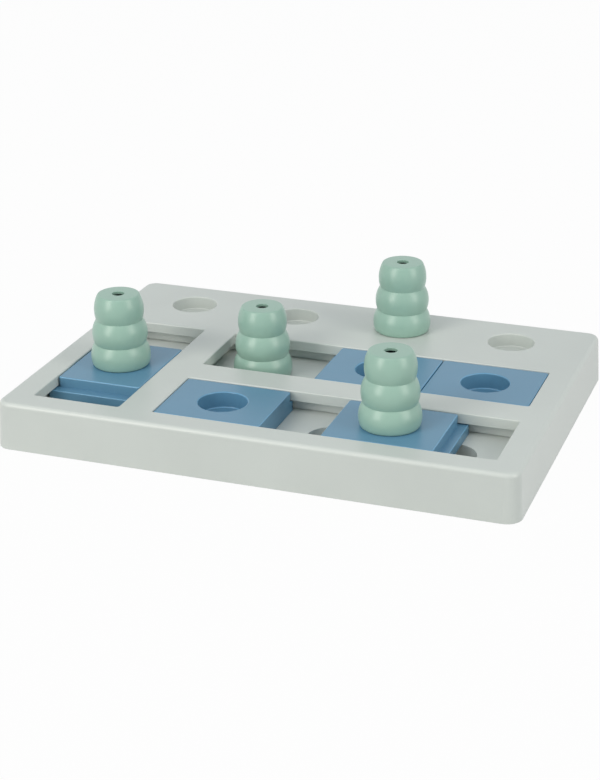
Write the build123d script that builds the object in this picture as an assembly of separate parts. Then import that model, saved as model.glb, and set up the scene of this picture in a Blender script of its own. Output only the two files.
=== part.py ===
from build123d import *
import os
from collections import namedtuple
from math import radians, tan

os.makedirs("parts", exist_ok=True)

# A dog's puzzle feeder: a low board with three slots, five sliders that run in them, four
# lift-off cones, and treat wells in the deck, in the slot floors and in the sliders.
# Millimetres. The origin is the middle of the board's footprint, on the surface that it
# stands on. +X is to the right, +Y to the back, +Z up.

# ---- Board: side walls and deck ------------------------------------------------------------
BOARD_LENGTH = 400.0        # left to right, at the foot of the side walls
BOARD_DEPTH = 285.0         # front to back, at the foot of the side walls
BOARD_HEIGHT = 36.5         # from the foot of the side walls to the deck
SIDE_DRAFT = 3.5            # degrees that each side wall leans in as it rises
SIDE_WALL = 2.6
CORNER_RADIUS = 12.0        # upright corners, at the foot of the side walls
DECK_THICKNESS = 2.8
DECK_EDGE_RADIUS = 3.4      # rolled edge between the deck and the side walls
OPENING_EDGE_RADIUS = 1.0   # softened edge round each slot and deck well

# ---- Slots in the deck ---------------------------------------------------------------------
LEFT_MARGIN = 23.5          # deck left of the left slot
RIGHT_MARGIN = 22.7         # deck right of the two long slots
FRONT_MARGIN = 23.0         # deck in front of the slots
SLOT_WIDTH = 69.2
LEFT_BAR = 26.7             # deck between the left slot and the two long slots
MIDDLE_BAR = 28.2           # deck between the front slot and the back slot
SLOT_CORNER_RADIUS = 2.0
LIP_DEPTH = 8.0             # how far the lip round each slot reaches below the deck
LIP_WALL = 2.6

# ---- Channels under the slots, in the floor tray -------------------------------------------
CHANNEL_SETBACK = 7.0       # how far a channel wall stands behind the slot's edge
CHANNEL_CORNER_RADIUS = 4.0
CHANNEL_DEPTH = 17.3        # deck to channel floor
TRAY_WALL = 2.2
WALL_GROOVE_HEIGHT = 0.8    # undercut groove along the foot of the channel walls
WALL_GROOVE_DEPTH = 1.0
TRAY_FLOOR = 2.4
TRAY_SIDE_GAP = 1.0         # between the tray's edge and the board's side wall
TRAY_BACK_LEDGE = 9.0       # tray floor left behind the channels for the back screws
TRAY_RIB = 1.8
TRAY_RIB_DEPTH = 6.0
TRAY_RIB_OFFSET = 27.0      # ribs lie this far each side of a row of wells

# ---- Treat wells ---------------------------------------------------------------------------
WELL_RADIUS = 18.5
WELL_WALL = 2.0
WELL_FLOOR_RADIUS = 1.2     # fillet between a well's wall and its floor
DECK_WELL_DEPTH = 11.0
DECK_WELL_COUNT = 4
FIRST_DECK_WELL = 62.0      # left edge of the board to the first deck well
DECK_WELL_PITCH = 90.8
DECK_WELL_SHIFT = 4.3       # deck wells behind the middle of the back strip
FLOOR_WELL_DEPTH = 10.5
FIRST_FLOOR_WELL = 36.7     # end of a slot to its first floor well
FLOOR_WELL_PITCH = 90.0

# ---- Sliders -------------------------------------------------------------------------------
SLIDER_SHORTFALL = 3.2      # how much shorter the raised block is than a third of a long slot
SLIDER_SIDE_GAP = 0.8       # between the block and each side of the slot
SLIDER_SINK = 0.6           # block's top below the deck
SLIDER_WALL = 2.2
SLIDER_CORNER_RADIUS = 2.0
SLIDER_INNER_CORNER = 0.3   # least corner radius inside a slider
SLIDER_EDGE_RADIUS = 1.0
FLANGE_SIDE = 6.0           # flange beyond the block, on both long sides
BLOCK_END_GAP = 0.5         # slot's end to the block of a slider that stands at its stop
FLANGE_DROP = 8.5           # block's top down to the flange's top
FLANGE_CORNER_RADIUS = 3.0
FLANGE_EDGE_RADIUS = 0.8
FLOOR_CLEARANCE = 0.2       # under a slider
STOP_CLEARANCE = 0.3        # between a flange and the channel's end at the end of travel
NEIGHBOUR_GAP = 0.7         # between the two sliders that stand together
POCKET_DEPTH = 12.8
POCKET_EDGE_RADIUS = 1.0
SLIDER_RIB = 1.6
LEFT_SLIDER_START = 39.0    # front end of the left slot to its slider
FRONT_RIGHT_START = 129.7   # left end of the front slot to its right slider

# ---- Cones ---------------------------------------------------------------------------------
CONE_HEIGHT = 57.2          # foot to top, without the spigot
FOOT_RING_RADIUS = 21.2
LOW_BULGE = (23.1, 8.6)     # radius, height above the foot
LOW_GROOVE = (19.1, 18.0)
MIDDLE_BULGE = (21.3, 25.8)
HIGH_GROOVE = (17.2, 36.9)
TOP_BULGE = (19.0, 44.4)
TOP_EDGE_RADIUS_AT = 16.7   # radius of the cone where its flat top begins to roll over
CONE_TOP_ROLL = 0.9
CONE_FOOT_ROLL = 0.7
CONE_WALL = 2.2
CONE_HOLE_RADIUS = 4.7
CONE_HOLE_CHAMFER = 0.3
SPIGOT_CLEARANCE = 0.7      # between the spigot under a cone and the well that it sits in
SPIGOT_DEPTH = 3.0
SPIGOT_WALL = 2.0
SEAT_GAP = 0.1              # under the foot of a cone

# ---- Screws and their bosses ---------------------------------------------------------------
SCREW_RADIUS = 1.5
SCREW_LENGTH = 12.0         # below the head
SCREW_HEAD_RADIUS = 3.0
SCREW_HEAD_HEIGHT = 1.8
SCREW_HEAD_ROUNDING = 0.9
SCREW_TIP_CHAMFER = 0.9
SCREW_RECESS_RADIUS = 1.1   # driver recess in the head
SCREW_RECESS_DEPTH = 1.1
PILOT_CLEARANCE = 0.05
PILOT_EXTRA = 1.0           # pilot hole beyond the screw's tip
TRAY_HOLE_CLEARANCE = 0.3
BOSS_RADIUS = 3.2
BOSS_CLEARANCE = 0.3        # least room between a boss and a channel wall
BOSS_SETBACK = 4.6          # channel wall to the middle of the bosses outside it
BOSS_END_INSET = 60.0       # board's edge to the first boss of a row
BACK_BOSS_OFFSET = 14.5     # back edge of the slots to the bosses behind them
BAR_BOSS_OFFSET = 64.0      # ends of the long slots to the bosses in the middle bar

# ---- Rubber feet and their posts -----------------------------------------------------------
FOOT_RADIUS = 8.0
FOOT_STANDOFF = 0.8         # the feet hold the side walls this far off the surface
FOOT_THICKNESS = 4.0
FOOT_EDGE_RADIUS = 0.8
FOOT_SEAT_DEPTH = 2.2       # how deep a foot sits in its post
FOOT_SEAT_CLEARANCE = 0.2
POST_WALL = 1.8
POST_FLOOR = 2.2
FOOT_INSET = 26.0           # board's edges to the corner feet
BACK_RIB = 1.8
BACK_RIB_DEPTH = 9.0
FRONT_RIB_SETBACK = 22.5    # back edge of the slots to the rib in front of the deck wells
BACK_RIB_SETBACK = 13.9     # back edge of the board to the rib behind them

# ---- Heights and places that follow from the sizes above -----------------------------------
SKIRT_Z = FOOT_STANDOFF
DECK_Z = FOOT_STANDOFF + BOARD_HEIGHT
DECK_UNDER = DECK_Z - DECK_THICKNESS
LIP_UNDER = DECK_Z - LIP_DEPTH
FLOOR_Z = DECK_Z - CHANNEL_DEPTH
TRAY_UNDER = FLOOR_Z - TRAY_FLOOR
SLIDER_TOP = DECK_Z - SLIDER_SINK
SLIDER_UNDER = FLOOR_Z + FLOOR_CLEARANCE
FLANGE_TOP = SLIDER_TOP - FLANGE_DROP
POST_UNDER = FOOT_THICKNESS - FOOT_SEAT_DEPTH
POST_RADIUS = FOOT_RADIUS + FOOT_SEAT_CLEARANCE + POST_WALL
BLOCK_WIDTH = SLOT_WIDTH - 2 * SLIDER_SIDE_GAP
FLANGE_END = CHANNEL_SETBACK + BLOCK_END_GAP - STOP_CLEARANCE   # beyond the block, at one end only
SPIGOT_RADIUS = WELL_RADIUS - SPIGOT_CLEARANCE

Slot = namedtuple("Slot", "left front length depth")
LONG_LEFT = LEFT_MARGIN + SLOT_WIDTH + LEFT_BAR
LONG_SLOT = BOARD_LENGTH - RIGHT_MARGIN - LONG_LEFT
BACK_FRONT = FRONT_MARGIN + SLOT_WIDTH + MIDDLE_BAR
SLOTS_BACK = BACK_FRONT + SLOT_WIDTH
LEFT_SLOT = Slot(LEFT_MARGIN, FRONT_MARGIN, SLOT_WIDTH, SLOTS_BACK - FRONT_MARGIN)
FRONT_SLOT = Slot(LONG_LEFT, FRONT_MARGIN, LONG_SLOT, SLOT_WIDTH)
BACK_SLOT = Slot(LONG_LEFT, BACK_FRONT, LONG_SLOT, SLOT_WIDTH)
SLOTS = (LEFT_SLOT, FRONT_SLOT, BACK_SLOT)
LEFT_LINE = LEFT_SLOT.left + SLOT_WIDTH / 2
FRONT_LINE = FRONT_SLOT.front + SLOT_WIDTH / 2
BACK_LINE = BACK_SLOT.front + SLOT_WIDTH / 2
RIB_LINES = (SLOTS_BACK + FRONT_RIB_SETBACK, BOARD_DEPTH - BACK_RIB_SETBACK)
DECK_WELL_LINE = (SLOTS_BACK + BOARD_DEPTH) / 2 + DECK_WELL_SHIFT
SLIDER_LENGTH = LONG_SLOT / 3 - SLIDER_SHORTFALL


def floor_well_row(slot_length):
    """Distances from the end of a slot to each floor well that the slot has room for."""
    room = slot_length - FIRST_FLOOR_WELL - WELL_RADIUS
    return [FIRST_FLOOR_WELL + FLOOR_WELL_PITCH * i for i in range(int(room // FLOOR_WELL_PITCH) + 1)]


DECK_WELLS = [(FIRST_DECK_WELL + DECK_WELL_PITCH * i, DECK_WELL_LINE) for i in range(DECK_WELL_COUNT)]
FLOOR_WELLS = [(LEFT_LINE, LEFT_SLOT.front + along) for along in floor_well_row(LEFT_SLOT.depth)]
for row in (FRONT_LINE, BACK_LINE):
    FLOOR_WELLS += [(LONG_LEFT + along, row) for along in floor_well_row(LONG_SLOT)]

CHANNEL_OUTSET = CHANNEL_SETBACK + TRAY_WALL
LEFT_BOSS_INSET = LEFT_MARGIN - CHANNEL_OUTSET - BOSS_SETBACK
RIGHT_BOSS_INSET = RIGHT_MARGIN - CHANNEL_OUTSET - BOSS_SETBACK
FRONT_BOSS_INSET = FRONT_MARGIN - CHANNEL_OUTSET - BOSS_SETBACK
BAR_BOSS_X = LEFT_SLOT.left + SLOT_WIDTH + LEFT_BAR / 2
BAR_BOSS_Y = FRONT_SLOT.front + SLOT_WIDTH + MIDDLE_BAR / 2
ROW_ENDS = (BOSS_END_INSET, BOARD_LENGTH / 2, BOARD_LENGTH - BOSS_END_INSET)
BOSSES = [(along, FRONT_BOSS_INSET) for along in ROW_ENDS]
BOSSES += [(along, SLOTS_BACK + BACK_BOSS_OFFSET) for along in ROW_ENDS]
for back in (BOSS_END_INSET, BACK_LINE):
    BOSSES += [(LEFT_BOSS_INSET, back), (BAR_BOSS_X, back), (BOARD_LENGTH - RIGHT_BOSS_INSET, back)]
BOSSES += [(LONG_LEFT + BAR_BOSS_OFFSET, BAR_BOSS_Y), (LONG_LEFT + LONG_SLOT - BAR_BOSS_OFFSET, BAR_BOSS_Y)]

FRONT_MIDDLE_FOOT = LONG_LEFT + FIRST_FLOOR_WELL + FLOOR_WELL_PITCH / 2
BACK_MIDDLE_FOOT = (DECK_WELLS[1][0] + DECK_WELLS[2][0]) / 2
FRONT_FEET = {
    "foot_front_left": (FOOT_INSET, FOOT_INSET),
    "foot_front_middle": (FRONT_MIDDLE_FOOT, FOOT_INSET),
    "foot_front_right": (BOARD_LENGTH - FOOT_INSET, FOOT_INSET),
}
BACK_FEET = {
    "foot_back_left": (FOOT_INSET, BOARD_DEPTH - FOOT_INSET),
    "foot_back_middle": (BACK_MIDDLE_FOOT, BOARD_DEPTH - FOOT_INSET),
    "foot_back_right": (BOARD_LENGTH - FOOT_INSET, BOARD_DEPTH - FOOT_INSET),
}


# ---- Building blocks -----------------------------------------------------------------------
def spot(across, back, z=0.0):
    """A place measured from the board's left front corner."""
    return Pos(across - BOARD_LENGTH / 2, back - BOARD_DEPTH / 2, z)


def rod(radius, low, high):
    """An upright cylinder on the Z axis between two heights."""
    return Pos(0, 0, low) * extrude(Circle(radius), high - low)


def block(length, depth, low, high, radius):
    """An upright block round the Z axis with rounded upright corners."""
    return Pos(0, 0, low) * extrude(RectangleRounded(length, depth, radius), high - low)


def leaning_block(inset, low, high):
    """The board's outline, inset all round, with sides that lean in as they rise."""
    outline = RectangleRounded(BOARD_LENGTH - 2 * inset, BOARD_DEPTH - 2 * inset, CORNER_RADIUS - inset)
    return Pos(0, 0, low) * extrude(outline, high - low, taper=SIDE_DRAFT)


def slot_block(slot, outset, low, high, radius):
    """A block over a slot's outline, grown by outset all round."""
    middle = spot(slot.left + slot.length / 2, slot.front + slot.depth / 2)
    return middle * block(slot.length + 2 * outset, slot.depth + 2 * outset, low, high, radius)


def well_space(top, depth):
    """The hollow of a treat well, with a fillet round its floor."""
    hollow = rod(WELL_RADIUS, top - depth, top)
    return fillet(hollow.edges().sort_by(Axis.Z)[0], WELL_FLOOR_RADIUS)


def foot_post(top):
    """A round post with a seat for a rubber foot in its lower end."""
    seat_radius = FOOT_RADIUS + FOOT_SEAT_CLEARANCE
    post = rod(POST_RADIUS, POST_UNDER, top) - rod(seat_radius, POST_UNDER, FOOT_THICKNESS)
    if top - FOOT_THICKNESS > 2 * POST_FLOOR:
        post -= rod(POST_RADIUS - POST_WALL, FOOT_THICKNESS + POST_FLOOR, top)
    return post


# ---- Pieces --------------------------------------------------------------------------------
def make_top_cover():
    """Side walls and deck in one moulding, with lips, deck wells, bosses, ribs and back posts."""
    cover = leaning_block(0, SKIRT_Z, DECK_Z)
    cover = fillet(cover.faces().sort_by(Axis.Z)[-1].edges(), DECK_EDGE_RADIUS)
    cover -= leaning_block(SIDE_WALL, SKIRT_Z, DECK_UNDER)
    for slot in SLOTS:
        cover += slot_block(slot, LIP_WALL, LIP_UNDER, DECK_Z, SLOT_CORNER_RADIUS + LIP_WALL)
    for line in RIB_LINES:
        cover += back_rib(line)
    for (left, _), (right, _) in zip(DECK_WELLS, DECK_WELLS[1:]):
        cover += cross_rib((left + right) / 2)
    for place in DECK_WELLS:
        cup_under = DECK_Z - DECK_WELL_DEPTH - WELL_WALL
        cover += spot(*place) * rod(WELL_RADIUS + WELL_WALL, cup_under, DECK_UNDER)
    for place in BACK_FEET.values():
        cover += spot(*place) * foot_post(DECK_UNDER)
    for place in BOSSES:
        cover += spot(*place) * rod(BOSS_RADIUS, FLOOR_Z, DECK_UNDER)
    for slot in SLOTS:
        cover -= slot_block(slot, 0, LIP_UNDER, DECK_Z, SLOT_CORNER_RADIUS)
    for place in DECK_WELLS:
        cover -= spot(*place) * well_space(DECK_Z, DECK_WELL_DEPTH)
    pilot_top = TRAY_UNDER + SCREW_LENGTH + PILOT_EXTRA
    for place in BOSSES:
        cover -= spot(*place) * rod(SCREW_RADIUS + PILOT_CLEARANCE, FLOOR_Z, pilot_top)
    deck = cover.faces().filter_by(Axis.Z).sort_by(Axis.Z)[-1]
    openings = [edge for wire in deck.inner_wires() for edge in wire.edges()]
    return fillet(openings, OPENING_EDGE_RADIUS)


def back_rib(line):
    """A rib under the deck along the row of deck wells."""
    lean = SIDE_WALL + tan(radians(SIDE_DRAFT)) * BOARD_HEIGHT
    rib = extrude(Rectangle(BOARD_LENGTH - 2 * lean, BACK_RIB), BACK_RIB_DEPTH)
    return spot(BOARD_LENGTH / 2, line, DECK_UNDER - BACK_RIB_DEPTH) * rib


def cross_rib(across):
    """A rib under the deck from the front rib to the back rib, between two deck wells."""
    front, back = RIB_LINES
    rib = extrude(Rectangle(BACK_RIB, back - front), BACK_RIB_DEPTH)
    return spot(across, (front + back) / 2, DECK_UNDER - BACK_RIB_DEPTH) * rib


def make_floor_tray():
    """The moulding below the deck: three channels with floor wells, ribs and front posts."""
    edge = SIDE_WALL + TRAY_SIDE_GAP + tan(radians(SIDE_DRAFT)) * (FLOOR_Z - SKIRT_Z)
    back_edge = SLOTS_BACK + CHANNEL_OUTSET + TRAY_BACK_LEDGE
    length = BOARD_LENGTH - 2 * edge
    depth = back_edge - edge
    middle = spot(BOARD_LENGTH / 2, edge + depth / 2)
    tray = middle * block(length, depth, TRAY_UNDER, FLOOR_Z, CORNER_RADIUS - SIDE_WALL)
    for slot in SLOTS:
        radius = CHANNEL_CORNER_RADIUS + TRAY_WALL
        tray += slot_block(slot, CHANNEL_OUTSET, TRAY_UNDER, DECK_UNDER, radius)
    for slot in SLOTS:
        tray -= slot_block(slot, CHANNEL_SETBACK, FLOOR_Z, DECK_UNDER, CHANNEL_CORNER_RADIUS)
        outset, radius = CHANNEL_SETBACK + WALL_GROOVE_DEPTH, CHANNEL_CORNER_RADIUS + WALL_GROOVE_DEPTH
        tray -= slot_block(slot, outset, FLOOR_Z, FLOOR_Z + WALL_GROOVE_HEIGHT, radius)
    for line in (FRONT_LINE, BACK_LINE):
        for side in (-1, 1):
            rib = extrude(Rectangle(length, TRAY_RIB), TRAY_RIB_DEPTH)
            back = line + side * TRAY_RIB_OFFSET
            tray += spot(BOARD_LENGTH / 2, back, TRAY_UNDER - TRAY_RIB_DEPTH) * rib
    for place in FLOOR_WELLS:
        cup_under = FLOOR_Z - FLOOR_WELL_DEPTH - WELL_WALL
        tray += spot(*place) * rod(WELL_RADIUS + WELL_WALL, cup_under, TRAY_UNDER)
    for place in FRONT_FEET.values():
        tray += spot(*place) * foot_post(TRAY_UNDER)
    for place in FLOOR_WELLS:
        tray -= spot(*place) * well_space(FLOOR_Z, FLOOR_WELL_DEPTH)
    for place in BOSSES:
        tray -= spot(*place) * rod(BOSS_RADIUS + BOSS_CLEARANCE, FLOOR_Z, DECK_UNDER)
        tray -= spot(*place) * rod(SCREW_RADIUS + TRAY_HOLE_CLEARANCE, TRAY_UNDER, FLOOR_Z)
    return tray


def make_screw():
    """A pan-head screw, tip up, with its head's upper face at height zero."""
    screw = rod(SCREW_RADIUS, 0, SCREW_LENGTH) + rod(SCREW_HEAD_RADIUS, -SCREW_HEAD_HEIGHT, 0)
    screw = chamfer(screw.edges().sort_by(Axis.Z)[-1], SCREW_TIP_CHAMFER)
    screw = fillet(screw.edges().sort_by(Axis.Z)[0], SCREW_HEAD_ROUNDING)
    recess = extrude(RegularPolygon(SCREW_RECESS_RADIUS, 6), SCREW_RECESS_DEPTH)
    return screw - Pos(0, 0, -SCREW_HEAD_HEIGHT) * recess


def make_foot():
    """A rubber disc that stands on the surface, with a rounded lower edge."""
    foot = rod(FOOT_RADIUS, 0, FOOT_THICKNESS)
    return fillet(foot.edges().sort_by(Axis.Z)[0], FOOT_EDGE_RADIUS)


def slider_outline(inset, low, block_top, flange_top):
    """The slider's body, inset all round: a raised block on a flange that passes its +X end."""
    length = SLIDER_LENGTH - 2 * inset
    width = BLOCK_WIDTH - 2 * inset
    corner = max(SLIDER_CORNER_RADIUS - inset, SLIDER_INNER_CORNER)
    flange_corner = max(FLANGE_CORNER_RADIUS - inset, SLIDER_INNER_CORNER)
    raised = block(length, width, low, block_top, corner)
    flange = block(length + FLANGE_END, width + 2 * FLANGE_SIDE, low, flange_top, flange_corner)
    return raised, Pos(FLANGE_END / 2, 0, 0) * flange


def make_slider():
    """A slider, hollow from below, centred on its block, with the end flange towards +X."""
    raised, flange = slider_outline(0, SLIDER_UNDER, SLIDER_TOP, FLANGE_TOP)
    raised = fillet(raised.edges().group_by(Axis.Z)[-1], SLIDER_EDGE_RADIUS)
    flange = fillet(flange.edges().group_by(Axis.Z)[-1], FLANGE_EDGE_RADIUS)
    slider = raised + flange
    inner = slider_outline(SLIDER_WALL, SLIDER_UNDER, SLIDER_TOP - SLIDER_WALL, FLANGE_TOP - SLIDER_WALL)
    for hollow in inner:
        slider -= hollow
    rib_low = FLANGE_TOP - SLIDER_WALL
    ribs = extrude(Rectangle(SLIDER_LENGTH - SLIDER_WALL, SLIDER_RIB), SLIDER_TOP - SLIDER_WALL - rib_low)
    ribs += extrude(Rectangle(SLIDER_RIB, BLOCK_WIDTH - SLIDER_WALL), SLIDER_TOP - SLIDER_WALL - rib_low)
    slider += Pos(0, 0, rib_low) * ribs
    cup_under = SLIDER_TOP - POCKET_DEPTH - WELL_WALL
    slider += rod(WELL_RADIUS + WELL_WALL, cup_under, SLIDER_TOP - SLIDER_WALL)
    slider -= well_space(SLIDER_TOP, POCKET_DEPTH)
    top = slider.faces().filter_by(Axis.Z).sort_by(Axis.Z)[-1]
    return fillet(top.inner_wires()[0].edges(), POCKET_EDGE_RADIUS)


def make_cone():
    """A hollow cone of three bulges, open below, with a spigot that locates it in a well."""
    def arc(start, through, end, inset):
        """One bulge of the outline, through its widest point, moved in towards the axis."""
        points = [(radius - inset, height) for radius, height in (start, through, end)]
        return ThreePointArc(*points)

    foot = (FOOT_RING_RADIUS, 0.0)
    shoulder = (TOP_EDGE_RADIUS_AT, CONE_HEIGHT)
    bulges = ((foot, LOW_BULGE, LOW_GROOVE), (LOW_GROOVE, MIDDLE_BULGE, HIGH_GROOVE),
              (HIGH_GROOVE, TOP_BULGE, shoulder))
    sides = [arc(*bulge, 0) for bulge in bulges]
    closing = Polyline((TOP_EDGE_RADIUS_AT, CONE_HEIGHT), (0, CONE_HEIGHT), (0, 0), foot)
    cone = revolve(Plane.XZ * make_face([*sides, *closing.edges()]), Axis.Z)
    rolls = cone.faces().sort_by(Axis.Z)[-1].edges()
    cone = fillet(rolls, CONE_TOP_ROLL)
    cone = fillet(cone.faces().sort_by(Axis.Z)[0].edges(), CONE_FOOT_ROLL)
    ceiling = CONE_HEIGHT - CONE_WALL
    inner_sides = [arc(*bulge, CONE_WALL) for bulge in bulges]
    inner_closing = Polyline((TOP_EDGE_RADIUS_AT - CONE_WALL, CONE_HEIGHT), (0, CONE_HEIGHT), (0, 0),
                             (FOOT_RING_RADIUS - CONE_WALL, 0))
    core = revolve(Plane.XZ * make_face([*inner_sides, *inner_closing.edges()]), Axis.Z)
    core &= rod(2 * FOOT_RING_RADIUS, CONE_WALL, ceiling)
    cone -= core
    cone += rod(SPIGOT_RADIUS, -SPIGOT_DEPTH, CONE_WALL)
    cone -= rod(SPIGOT_RADIUS - SPIGOT_WALL, -SPIGOT_DEPTH, CONE_WALL)
    cone -= rod(CONE_HOLE_RADIUS, ceiling, CONE_HEIGHT)
    hole = cone.faces().filter_by(Axis.Z).sort_by(Axis.Z)[-1].inner_wires()[0]
    return chamfer(hole.edges(), CONE_HOLE_CHAMFER)


# ---- Where the moving pieces stand ---------------------------------------------------------
HALF = SLIDER_LENGTH / 2
LONG_RIGHT = LONG_LEFT + LONG_SLOT
BACK_RIGHT_AT = LONG_RIGHT - BLOCK_END_GAP - HALF
SLIDER_PLACES = {
    "slider_left": (LEFT_LINE, LEFT_SLOT.front + LEFT_SLIDER_START + HALF, -90),
    "slider_front_left": (LONG_LEFT + BLOCK_END_GAP + HALF, FRONT_LINE, 180),
    "slider_front_right": (LONG_LEFT + FRONT_RIGHT_START + HALF, FRONT_LINE, 0),
    "slider_back_middle": (BACK_RIGHT_AT - SLIDER_LENGTH - NEIGHBOUR_GAP, BACK_LINE, 180),
    "slider_back_right": (BACK_RIGHT_AT, BACK_LINE, 0),
}
CONE_PLACES = {
    "cone_left": (*SLIDER_PLACES["slider_left"][:2], SLIDER_TOP),
    "cone_front": (*SLIDER_PLACES["slider_front_right"][:2], SLIDER_TOP),
    "cone_back_slot": (LONG_LEFT + FIRST_FLOOR_WELL, BACK_LINE, FLOOR_Z),
    "cone_deck": (*DECK_WELLS[2], DECK_Z),
}


def build_all():
    """Every node of the model, by name."""
    nodes = {"top_cover": make_top_cover(), "floor_tray": make_floor_tray()}
    screw = make_screw()
    nodes["tray_screws"] = Compound([spot(*place, TRAY_UNDER) * screw for place in BOSSES])
    foot = make_foot()
    for name, place in {**FRONT_FEET, **BACK_FEET}.items():
        nodes[name] = spot(*place) * foot
    slider = make_slider()
    for name, (across, back, turn) in SLIDER_PLACES.items():
        nodes[name] = spot(across, back) * Rot(0, 0, turn) * slider
    cone = make_cone()
    for name, (across, back, seat) in CONE_PLACES.items():
        nodes[name] = spot(across, back, seat + SEAT_GAP) * cone
    return nodes


for node, shape in build_all().items():
    export_step(shape, f"parts/{node}.step")
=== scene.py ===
"""Finishes, studio stage and camera for a dog's puzzle feeder with sliders and lift-off cones."""
from math import atan2, cos, radians, sin, tau

import bmesh
import bpy
from bpy.props import FloatProperty, FloatVectorProperty, PointerProperty
from mathutils import Matrix, Vector


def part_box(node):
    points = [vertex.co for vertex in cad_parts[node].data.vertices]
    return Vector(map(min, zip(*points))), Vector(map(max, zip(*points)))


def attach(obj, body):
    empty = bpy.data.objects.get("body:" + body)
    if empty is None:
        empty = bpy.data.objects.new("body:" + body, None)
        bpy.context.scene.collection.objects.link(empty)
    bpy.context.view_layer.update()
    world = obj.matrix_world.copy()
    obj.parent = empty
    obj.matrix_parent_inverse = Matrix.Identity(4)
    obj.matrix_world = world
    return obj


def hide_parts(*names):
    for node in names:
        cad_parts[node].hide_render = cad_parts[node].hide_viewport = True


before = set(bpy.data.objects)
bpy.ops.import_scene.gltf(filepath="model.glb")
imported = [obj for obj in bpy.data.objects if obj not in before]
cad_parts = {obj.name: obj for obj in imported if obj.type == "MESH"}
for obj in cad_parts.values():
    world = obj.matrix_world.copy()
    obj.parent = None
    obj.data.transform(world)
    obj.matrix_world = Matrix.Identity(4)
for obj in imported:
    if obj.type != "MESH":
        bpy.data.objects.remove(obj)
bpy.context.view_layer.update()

bl_info = {
    "name": "Dog Puzzle Feeder",
    "version": (1, 0, 0),
    "blender": (4, 5, 0),
    "location": "View3D > Sidebar > Puzzle Feeder",
    "description": "Dresses a packed dog puzzle feeder and sets a plain studio round it",
    "category": "Object",
}

SLIDERS = [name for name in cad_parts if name.startswith("slider_")]
CONES = [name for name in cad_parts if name.startswith("cone_")]
FEET = [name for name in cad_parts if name.startswith("foot_")]

# X between the left slot and the long slots.
LEFT_SLOT_END = (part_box("slider_left")[1][0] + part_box("slider_front_left")[0][0]) / 2


# ---- Sizes and colours that a user would change --------------------------------------------
def colour(name, description, default):
    """A colour property, in linear light."""
    return FloatVectorProperty(name=name, description=description, default=default, size=3,
                               subtype="COLOR", min=0.0, max=1.0)


class FeederStudio(bpy.types.PropertyGroup):
    """The camera and the lamps."""
    azimuth: FloatProperty(name="Azimuth", description="Turn of the camera round the board, from its front",
                           default=radians(19.9189), subtype="ANGLE")
    elevation: FloatProperty(name="Elevation", description="Height of the camera as an angle",
                             default=radians(22.9079), subtype="ANGLE")
    roll: FloatProperty(name="Roll", description="Tilt of the camera about its own line of sight",
                        default=radians(-0.4727), subtype="ANGLE")
    distance: FloatProperty(name="Distance", description="From the camera to its target",
                            default=1.423589, unit="LENGTH")
    target: FloatVectorProperty(name="Target", description="The point that the camera looks at",
                                default=(-0.0062845, -0.0065989, 0.01905), size=3, subtype="TRANSLATION")
    lens: FloatProperty(name="Lens", description="Focal length for a 36 mm sensor", default=84.9425)
    left_power: FloatProperty(name="Left softbox", description="Power of the softbox at the left front",
                              default=27.0, unit="POWER")
    right_power: FloatProperty(name="Right softbox", description="Power of the softbox at the right",
                               default=20.0, unit="POWER")
    top_power: FloatProperty(name="Top softbox", description="Power of the softbox above the board",
                             default=9.0, unit="POWER")
    lamp_distance: FloatProperty(name="Lamp distance", description="From the board to each softbox",
                                 default=2.4, unit="LENGTH")
    lamp_tint: colour("Lamp tint", "Colour of the softboxes", (1.0, 0.965, 0.90))
    sky: FloatProperty(name="Sky", description="Strength of the even light from all round", default=0.50)
    sky_tint: colour("Sky tint", "Colour of the even light", (0.84, 0.93, 1.0))


class FeederFinish(bpy.types.PropertyGroup):
    """Colours of the plastics and the size of their grain."""
    board: colour("Board", "Pale grey of the cover", (0.580, 0.612, 0.582))
    # The tray is the board's grey made a tenth lighter: painted light that brightens the shaded slot floors.
    tray: colour("Tray", "Pale grey of the tray under the slots", (0.640, 0.672, 0.642))
    slider: colour("Sliders", "Dusty blue of the sliders", (0.114, 0.265, 0.398))
    cone: colour("Cones", "Sage green of the cones", (0.300, 0.466, 0.385))
    rubber: colour("Feet", "Dark grey of the rubber feet", (0.045, 0.046, 0.048))
    steel: colour("Screws", "Zinc of the screws", (0.55, 0.56, 0.58))
    grain: FloatProperty(name="Grain", description="Width of one bump of the moulded grain",
                         default=0.0006, unit="LENGTH")


def outline_point(name, description, radius, height):
    """A point of a cone's outline, as its radius and its height above the foot."""
    return FloatVectorProperty(name=name, description=description, default=(radius, height), size=2,
                               unit="LENGTH", precision=4)


def length(name, description, default):
    """A small length."""
    return FloatProperty(name=name, description=description, default=default, unit="LENGTH", precision=4)


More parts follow.
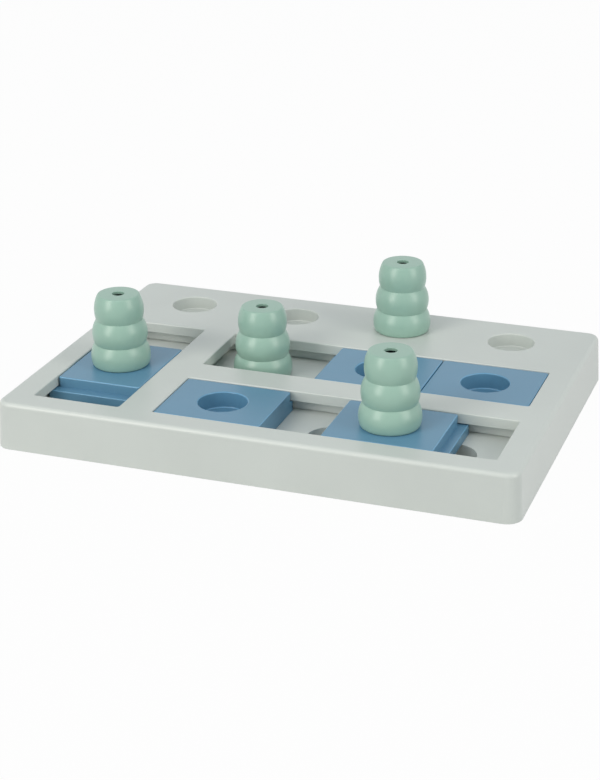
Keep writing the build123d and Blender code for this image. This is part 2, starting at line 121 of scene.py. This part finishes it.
class FeederCone(bpy.types.PropertyGroup):
    """The outline of a cone, in radius and height above its foot, and its walls."""
    foot: outline_point("Foot", "Foot ring", 0.0216, 0.0)
    low_bulge: outline_point("Low bulge", "Widest place of the low bulge", 0.0230, 0.0086)
    low_groove: outline_point("Low groove", "Crease above the low bulge", 0.0198, 0.0180)
    middle_bulge: outline_point("Middle bulge", "Widest place of the middle bulge", 0.0214, 0.0258)
    high_groove: outline_point("High groove", "Crease above the middle bulge", 0.0179, 0.0369)
    top_bulge: outline_point("Top bulge", "Widest place of the top bulge", 0.0191, 0.0442)
    shoulder: outline_point("Shoulder", "Edge of the flat top", 0.0159, 0.0572)
    top_roll: length("Top roll", "Rounding at the edge of the flat top", 0.0009)
    foot_roll: length("Foot roll", "Rounding at the foot", 0.0012)
    wall: length("Wall", "Thickness of the wall", 0.0022)
    hole: length("Scent hole", "Radius of the hole in the top", 0.0047)
    hole_edge: length("Hole edge", "Chamfer round the hole", 0.0003)
    spigot: length("Spigot", "Radius of the ring that drops into a well", 0.0178)
    spigot_wall: length("Spigot wall", "Thickness of that ring", 0.0020)
    spigot_depth: length("Spigot depth", "How far that ring reaches below the foot", 0.0030)


# ---- Shader maths --------------------------------------------------------------------------
class Value:
    """An output socket that can stand in a Python sum."""

    def __init__(self, finish, socket):
        self.finish = finish
        self.socket = socket

    def maths(self, operation, first, second):
        """A Math node on two values."""
        return self.finish.node("ShaderNodeMath", {"operation": operation}, {0: first, 1: second})

    def __add__(self, other):
        return self.maths("ADD", self, other)

    def __radd__(self, other):
        return self.maths("ADD", other, self)

    def __sub__(self, other):
        return self.maths("SUBTRACT", self, other)

    def __rsub__(self, other):
        return self.maths("SUBTRACT", other, self)

    def __mul__(self, other):
        return self.maths("MULTIPLY", self, other)

    def __rmul__(self, other):
        return self.maths("MULTIPLY", other, self)

    def power(self, exponent):
        """This value to a power."""
        return self.maths("POWER", self, exponent)

    def below(self, limit):
        """1 where this value is less than a limit, and 0 elsewhere."""
        return self.maths("LESS_THAN", self, limit)

    def larger(self, other):
        """The larger of this value and another."""
        return self.maths("MAXIMUM", self, other)


class Finish:
    """The nodes of a material or of the world, written as expressions."""

    def __init__(self, owner):
        owner.use_nodes = True
        self.owner = owner
        self.tree = owner.node_tree
        self.tree.nodes.clear()

    def node(self, kind, settings=None, inputs=None, output=0):
        """Adds one node: its settings first, then the values or links of its sockets."""
        made = self.tree.nodes.new(kind)
        for name, setting in (settings or {}).items():
            if name == "stops":
                set_stops(made.color_ramp, setting)
            else:
                setattr(made, name, setting)
        for name, given in (inputs or {}).items():
            if isinstance(given, Value):
                self.tree.links.new(given.socket, made.inputs[name])
            else:
                made.inputs[name].default_value = given
        return Value(self, made.outputs[output]) if made.outputs else None

    def blend(self, amount, first, second):
        """A colour between two colours."""
        return self.node("ShaderNodeMix", {"data_type": "RGBA"}, {0: amount, 6: first, 7: second}, 2)

    def stretch(self, place, scales):
        """A place scaled by a different factor along each axis."""
        return self.node("ShaderNodeVectorMath", {"operation": "MULTIPLY"}, {0: place, 1: scales})

    def seen_rays(self):
        """1 for what the camera sees, straight or in a mirror or glass, and 0 for other light."""
        camera, glossy, through = (self.node("ShaderNodeLightPath", output="Is " + kind + " Ray")
                                   for kind in ("Camera", "Glossy", "Transmission"))
        return camera.larger(glossy.larger(through))

    def close(self, shader, output="ShaderNodeOutputMaterial"):
        """Ends the tree in its surface output."""
        self.node(output, None, {"Surface": shader})
        return self.owner


def set_stops(ramp, stops):
    """Sets a colour ramp's stops from (position, value) pairs."""
    while len(ramp.elements) < len(stops):
        ramp.elements.new(1.0)
    for element, (position, level) in zip(ramp.elements, stops):
        element.position = position
        element.color = (level, level, level, 1.0)


# ---- Finishes ------------------------------------------------------------------------------
# Scales are per metre and heights and widths in metres. A tone is a factor on a colour, and a sheen
# is what a pattern adds to the roughness.
CLOUD_SCALE = 14.0
CLOUD_STOPS = ((0.35, 0.0), (0.65, 1.0))
CLOUD_TONE = 0.02           # lighter and darker than the plastic
SMOOTHEST = 0.03            # how far the smoothest spots lie below a plastic's roughness
CLOUD_SHEEN = 0.04
GRAIN_SHEEN = 0.03
PLASTIC_BUMP = 0.4
PLASTIC_BUMP_HEIGHT = 0.00006

MARK_WIDTH = 0.0012
MARK_LENGTH = 0.09
MARK_STOPS = ((0.58, 0.0), (0.70, 1.0))
MARK_TONE = 1.05
MARK_STRENGTH = 0.5         # how much of that tone shows
MARK_HEIGHT = 0.4           # beside the grain's
MARK_SHEEN = 0.06

# Rounded edges: their lighter colour is a painted highlight, their lower roughness is polish.
EDGE_MASK_STOPS = ((0.15, 0.0), (0.85, 1.0))
RUBBED_SHEEN = 0.05         # taken off the roughness

RUBBER_ROUGHNESS = 0.7
RUBBER_BLOOM_SCALE = 900.0
RUBBER_BLOOM_TONE = 1.8
RUBBER_BLOOM_SHEEN = 0.2
RUBBER_BUMP = 0.5
RUBBER_BUMP_HEIGHT = 0.00005

STEEL_ROUGHNESS = 0.25
PLATING_SCALE = 1500.0
PLATING_TONE = 0.9
PLATING_SHEEN = 0.2


def opaque(tone):
    """A colour with its alpha."""
    return (*tone, 1.0)


def shade(tone, factor):
    """A colour made lighter or darker."""
    return tuple(min(1.0, part * factor) for part in tone)


def slide_marks(finish, place):
    """Fine rub marks that run the way the sliders go: front to back at the left, else left to right."""
    across, along = 1 / MARK_WIDTH, 1 / MARK_LENGTH
    marks = [finish.node("ShaderNodeTexNoise", None,
                         {"Vector": finish.stretch(place, scales), "Scale": 1.0, "Detail": 2.0})
             for scales in ((along, across, along), (across, along, along))]
    sideways = finish.node("ShaderNodeSeparateXYZ", None, {0: place})
    at_left = sideways.below(LEFT_SLOT_END)
    noise = marks[0] * (1 - at_left) + marks[1] * at_left
    return finish.node("ShaderNodeValToRGB", {"stops": MARK_STOPS}, {0: noise})


def highlit_and_polished_edges(finish):
    """1 on the rounded edges between level and upright faces, where the colour is made lighter as a painted
    highlight and the roughness is lowered as polish from handling.
    """
    facing = finish.node("ShaderNodeNewGeometry", output="Normal")
    upward = finish.node("ShaderNodeSeparateXYZ", None, {0: facing}, "Z").power(2.0)
    return finish.node("ShaderNodeValToRGB", {"stops": EDGE_MASK_STOPS}, {0: 4 * upward * (1 - upward)})


def moulded_plastic(name, tone, grain, roughness, gloss=0.5, slides=False, edges=0.0):
    """Satin injection-moulded plastic: fine grain, faint flow clouds and uneven sheen.

    slides adds the marks of the sliders, and edges is how much lighter the rounded edges are painted, a
    painted highlight.
    """
    finish = Finish(bpy.data.materials.new(name))
    place = finish.node("ShaderNodeTexCoord", output="Object")
    fine = finish.node("ShaderNodeTexNoise", None,
                       {"Vector": place, "Scale": 1.0 / grain, "Detail": 2.0, "Roughness": 0.6})
    clouds = finish.node("ShaderNodeTexNoise", None,
                         {"Vector": place, "Scale": CLOUD_SCALE, "Detail": 3.0, "Roughness": 0.5})
    cloud_mask = finish.node("ShaderNodeValToRGB", {"stops": CLOUD_STOPS}, {0: clouds})
    base = finish.blend(cloud_mask, opaque(shade(tone, 1 - CLOUD_TONE)), opaque(shade(tone, 1 + CLOUD_TONE)))
    height = fine
    sheen = roughness - SMOOTHEST + clouds * CLOUD_SHEEN + fine * GRAIN_SHEEN
    if edges:
        edge_highlight_and_polish = highlit_and_polished_edges(finish)
        # painted highlight: the rounded edges made lighter
        base = finish.blend(edge_highlight_and_polish, base, opaque(shade(tone, 1 + edges)))
        sheen = sheen - edge_highlight_and_polish * RUBBED_SHEEN
    if slides:
        marks = slide_marks(finish, place)
        base = finish.blend(marks * MARK_STRENGTH, base, opaque(shade(tone, MARK_TONE)))
        height = fine + marks * MARK_HEIGHT
        sheen = sheen + marks * MARK_SHEEN
    bump = finish.node("ShaderNodeBump", None,
                       {"Strength": PLASTIC_BUMP, "Distance": PLASTIC_BUMP_HEIGHT, "Height": height})
    return finish.close(finish.node("ShaderNodeBsdfPrincipled", None, {
        "Base Color": base, "Roughness": sheen, "Specular IOR Level": gloss, "Normal": bump}))


def dull_rubber(name, tone):
    """Matt black rubber with a dusty bloom."""
    finish = Finish(bpy.data.materials.new(name))
    place = finish.node("ShaderNodeTexCoord", output="Object")
    bloom = finish.node("ShaderNodeTexNoise", None,
                        {"Vector": place, "Scale": RUBBER_BLOOM_SCALE, "Detail": 4.0})
    base = finish.blend(bloom, opaque(tone), opaque(shade(tone, RUBBER_BLOOM_TONE)))
    bump = finish.node("ShaderNodeBump", None,
                       {"Strength": RUBBER_BUMP, "Distance": RUBBER_BUMP_HEIGHT, "Height": bloom})
    return finish.close(finish.node("ShaderNodeBsdfPrincipled", None, {
        "Base Color": base, "Roughness": RUBBER_ROUGHNESS + bloom * RUBBER_BLOOM_SHEEN, "Normal": bump}))


def zinc_steel(name, tone):
    """Zinc plated screw steel with a fine brushed sheen."""
    finish = Finish(bpy.data.materials.new(name))
    place = finish.node("ShaderNodeTexCoord", output="Object")
    plating = finish.node("ShaderNodeTexNoise", None,
                          {"Vector": place, "Scale": PLATING_SCALE, "Detail": 3.0})
    base = finish.blend(plating, opaque(shade(tone, PLATING_TONE)), opaque(tone))
    return finish.close(finish.node("ShaderNodeBsdfPrincipled", None, {
        "Base Color": base, "Metallic": 1.0, "Roughness": STEEL_ROUGHNESS + plating * PLATING_SHEEN}))


def dress(node_names, material):
    """Gives CAD nodes a finish."""
    for name in node_names:
        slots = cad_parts[name].data.materials
        slots.clear()
        slots.append(material)


# ---- The turned shape of the cones ---------------------------------------------------------
ARC_STEPS = 20              # points along each bulge
ROLL_STEPS = 5              # points round each rounded corner
CONE_SIDES = 128
CREASE_ANGLE = radians(28)  # sharper edges aren't shaded smooth


def arc(start, through, end):
    """Points along the circle through three points of an outline."""
    (ax, ay), (bx, by), (cx, cy) = start, through, end
    a, b, c = ax * ax + ay * ay, bx * bx + by * by, cx * cx + cy * cy
    scale = 2 * (ax * (by - cy) + bx * (cy - ay) + cx * (ay - by))
    centre = Vector(((a * (by - cy) + b * (cy - ay) + c * (ay - by)) / scale,
                     (a * (cx - bx) + b * (ax - cx) + c * (bx - ax)) / scale))
    size = (Vector(start) - centre).length
    first, last = (atan2(y - centre.y, x - centre.x) for x, y in (start, end))
    angles = [first + (last - first) * step / ARC_STEPS for step in range(ARC_STEPS + 1)]
    return [centre + size * Vector((cos(angle), sin(angle))) for angle in angles]


def roll(before, corner, after):
    """A rounded corner between two points near it, as a quadratic curve."""
    steps = [step / ROLL_STEPS for step in range(ROLL_STEPS + 1)]
    return [(1 - t) ** 2 * before + 2 * t * (1 - t) * corner + t * t * after for t in steps]


def cone_outline(shape):
    """The closed outline of a cone's wall, in radius and height above its foot.

    It runs up the hole, out over the top, down the side, round the spigot and up the inside.
    """
    foot, shoulder = Vector(shape.foot), Vector(shape.shoulder)
    side = [*arc(foot, shape.low_bulge, shape.low_groove),
            *arc(shape.low_groove, shape.middle_bulge, shape.high_groove)[1:],
            *arc(shape.high_groove, shape.top_bulge, shoulder)[1:]]
    ceiling = shoulder.y - shape.wall
    inside = [Vector((point.x - shape.wall, point.y)) for point in side if shape.wall < point.y < ceiling]
    side = [point for point in side
            if (point - foot).length > shape.foot_roll and (point - shoulder).length > shape.top_roll]
    hole = [(shape.hole, ceiling), (shape.hole, shoulder.y - shape.hole_edge),
            (shape.hole + shape.hole_edge, shoulder.y)]
    inner_spigot = shape.spigot - shape.spigot_wall
    spigot = [(shape.spigot, 0.0), (shape.spigot, -shape.spigot_depth),
              (inner_spigot, -shape.spigot_depth), (inner_spigot, shape.wall), (inside[0].x, shape.wall)]
    return [*map(Vector, hole),
            *roll(shoulder - Vector((shape.top_roll, 0)), shoulder, side[-1]),
            *reversed(side[1:-1]),
            *roll(side[0], foot, foot - Vector((shape.foot_roll, 0))),
            *map(Vector, spigot),
            *inside, Vector((inside[-1].x, ceiling))]


def turn_cone(node, outline, shape, material):
    """Turns the outline about the axis of a cone's node, and stands for that node."""
    low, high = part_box(node)
    axis = Vector(((low[0] + high[0]) / 2, (low[1] + high[1]) / 2, low[2] + shape.spigot_depth))
    shell = bmesh.new()
    angles = [tau * side / CONE_SIDES for side in range(CONE_SIDES)]
    rings = [[shell.verts.new(axis + Vector((point.x * cos(angle), point.x * sin(angle), point.y)))
              for angle in angles] for point in outline]
    for ring, following in zip(rings, rings[1:] + rings[:1]):
        for side in range(CONE_SIDES):
            shell.faces.new((ring[side - 1], following[side - 1], following[side], ring[side]))
    bmesh.ops.recalc_face_normals(shell, faces=shell.faces)
    mesh = bpy.data.meshes.new(node + "_turned")
    shell.to_mesh(mesh)
    shell.free()
    mesh.polygons.foreach_set("use_smooth", [True] * len(mesh.polygons))
    mesh.set_sharp_from_angle(angle=CREASE_ANGLE)
    mesh.materials.append(material)
    cone = bpy.data.objects.new(node + "_turned", mesh)
    bpy.context.scene.collection.objects.link(cone)
    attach(cone, node)
    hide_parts(node)


# ---- The stage -----------------------------------------------------------------------------
SOFTBOXES = (               # azimuth and elevation in degrees, then width and height in metres
    ("left", -30, 24, (1.0, 1.8)),
    ("right", 78, 24, (1.0, 1.8)),
    ("top", -10, 62, (1.9, 1.1)),
)
FLOOR_HALF = 6.0
FLOOR_GLOW = 0.97           # the floor's share of plain white to the camera, the rest is its shading
PAPER = (0.55, 0.55, 0.55)
WHITE = (1.0, 1.0, 1.0)


def around(azimuth, elevation, distance):
    """A point round the origin: azimuth from the front to the right, and elevation, in radians."""
    level = distance * cos(elevation)
    return Vector((sin(azimuth) * level, -cos(azimuth) * level, distance * sin(elevation)))


def add_floor():
    """A wide pale floor that is white to the camera except where the object shades it."""
    half = FLOOR_HALF
    corners = [(-half, -half, 0), (half, -half, 0), (half, half, 0), (-half, half, 0)]
    mesh = bpy.data.meshes.new("floor")
    mesh.from_pydata(corners, [], [(0, 1, 2, 3)])
    floor = bpy.data.objects.new("floor", mesh)
    bpy.context.scene.collection.objects.link(floor)
    finish = Finish(bpy.data.materials.new("floor_white"))
    paper = finish.node("ShaderNodeBsdfDiffuse", None, {"Color": opaque(PAPER)})
    glow = finish.node("ShaderNodeEmission", None, {"Color": opaque(WHITE), "Strength": 1.0})
    mixed = finish.node("ShaderNodeMixShader", None, {0: finish.seen_rays() * FLOOR_GLOW, 1: paper, 2: glow})
    mesh.materials.append(finish.close(mixed))


def add_sky(scene, strength, tint):
    """Even light all round, and pure white behind everything that the camera sees."""
    scene.world = bpy.data.worlds.new("studio_sky")
    sky = Finish(scene.world)
    lit = sky.node("ShaderNodeBackground", None, {"Color": opaque(tint), "Strength": strength})
    seen = sky.node("ShaderNodeBackground", None, {"Color": opaque(WHITE), "Strength": 1.0})
    mixed = sky.node("ShaderNodeMixShader", None, {0: sky.seen_rays(), 1: lit, 2: seen})
    sky.close(mixed, "ShaderNodeOutputWorld")


def add_softbox(name, power, tint, place, size):
    """A rectangular soft lamp that faces the board."""
    lamp = bpy.data.lights.new(name, "AREA")
    lamp.shape = "RECTANGLE"
    lamp.size, lamp.size_y = size
    lamp.energy = power
    lamp.color = tint
    box = bpy.data.objects.new(name, lamp)
    bpy.context.scene.collection.objects.link(box)
    box.location = place
    box.rotation_euler = (-place).to_track_quat("-Z", "Y").to_euler()


def add_camera(scene, studio):
    """The studio camera, aimed at its target and rolled about its line of sight."""
    view = bpy.data.cameras.new("camera")
    view.sensor_width = 36.0
    view.lens = studio.lens
    camera = bpy.data.objects.new("camera", view)
    scene.collection.objects.link(camera)
    back = around(studio.azimuth, studio.elevation, 1.0)
    right = Vector((0, 0, 1)).cross(back).normalized()
    up = back.cross(right)
    turned_right = cos(studio.roll) * right + sin(studio.roll) * up
    turned_up = cos(studio.roll) * up - sin(studio.roll) * right
    turn = Matrix((turned_right, turned_up, back)).transposed().to_4x4()
    camera.matrix_world = Matrix.Translation(Vector(studio.target) + back * studio.distance) @ turn
    scene.camera = camera


# ---- Operators -----------------------------------------------------------------------------
class FEEDER_OT_board(bpy.types.Operator):
    """Finish the cover and the tray"""
    bl_idname = "feeder.board"
    bl_label = "Board"

    def execute(self, context):
        finish = context.scene.feeder_finish
        # edges paints a highlight along the rounded edges
        dress(["top_cover"], moulded_plastic("board_plastic", finish.board, finish.grain,
                                             roughness=0.36, edges=0.03))
        dress(["floor_tray"], moulded_plastic("tray_plastic", finish.tray, finish.grain,
                                              roughness=0.36, slides=True, edges=0.05))
        return {"FINISHED"}


class FEEDER_OT_sliders(bpy.types.Operator):
    """Finish the sliders"""
    bl_idname = "feeder.sliders"
    bl_label = "Sliders"

    def execute(self, context):
        finish = context.scene.feeder_finish
        # edges paints a highlight along the rounded edges
        dress(SLIDERS, moulded_plastic("slider_plastic", finish.slider, finish.grain,
                                       roughness=0.32, gloss=0.4, slides=True, edges=0.40))
        return {"FINISHED"}


class FEEDER_OT_cones(bpy.types.Operator):
    """Turn and finish the cones"""
    bl_idname = "feeder.cones"
    bl_label = "Cones"

    def execute(self, context):
        finish, shape = context.scene.feeder_finish, context.scene.feeder_cone
        plastic = moulded_plastic("cone_plastic", finish.cone, finish.grain, roughness=0.30, gloss=0.55)
        outline = cone_outline(shape)
        for node in CONES:
            turn_cone(node, outline, shape, plastic)
        return {"FINISHED"}


class FEEDER_OT_fittings(bpy.types.Operator):
    """Finish the rubber feet and the screws"""
    bl_idname = "feeder.fittings"
    bl_label = "Feet and screws"

    def execute(self, context):
        finish = context.scene.feeder_finish
        dress(FEET, dull_rubber("foot_rubber", finish.rubber))
        dress(["tray_screws"], zinc_steel("screw_zinc", finish.steel))
        return {"FINISHED"}


class FEEDER_OT_stage(bpy.types.Operator):
    """Set the floor, the lamps and the camera"""
    bl_idname = "feeder.stage"
    bl_label = "Stage"

    def execute(self, context):
        studio = context.scene.feeder_studio
        context.scene.view_settings.view_transform = "Standard"
        add_floor()
        add_sky(context.scene, studio.sky, studio.sky_tint)
        for side, azimuth, elevation, size in SOFTBOXES:
            place = around(radians(azimuth), radians(elevation), studio.lamp_distance)
            add_softbox(side + "_softbox", getattr(studio, side + "_power"), studio.lamp_tint, place, size)
        add_camera(context.scene, studio)
        return {"FINISHED"}


# ---- Panel and registration ----------------------------------------------------------------
STEPS = ("board", "sliders", "cones", "fittings", "stage")


class FEEDER_PT_panel(bpy.types.Panel):
    """Lists the steps in the sidebar"""
    bl_idname = "FEEDER_PT_panel"
    bl_label = "Puzzle Feeder"
    bl_space_type = "VIEW_3D"
    bl_region_type = "UI"
    bl_category = "Puzzle Feeder"

    def draw(self, context):
        for step in STEPS:
            self.layout.operator("feeder." + step)


CLASSES = (FeederStudio, FeederFinish, FeederCone, FEEDER_OT_board, FEEDER_OT_sliders, FEEDER_OT_cones,
           FEEDER_OT_fittings, FEEDER_OT_stage, FEEDER_PT_panel)


def register():
    """Registers the classes and their settings."""
    for cls in CLASSES:
        bpy.utils.register_class(cls)
    bpy.types.Scene.feeder_studio = PointerProperty(type=FeederStudio)
    bpy.types.Scene.feeder_finish = PointerProperty(type=FeederFinish)
    bpy.types.Scene.feeder_cone = PointerProperty(type=FeederCone)


def unregister():
    """Takes the classes and their settings away."""
    del bpy.types.Scene.feeder_cone
    del bpy.types.Scene.feeder_finish
    del bpy.types.Scene.feeder_studio
    for cls in reversed(CLASSES):
        bpy.utils.unregister_class(cls)


def main():
    """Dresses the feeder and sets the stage."""
    register()
    for step in STEPS:
        getattr(bpy.ops.feeder, step)()


if __name__ == "__main__":
    main()
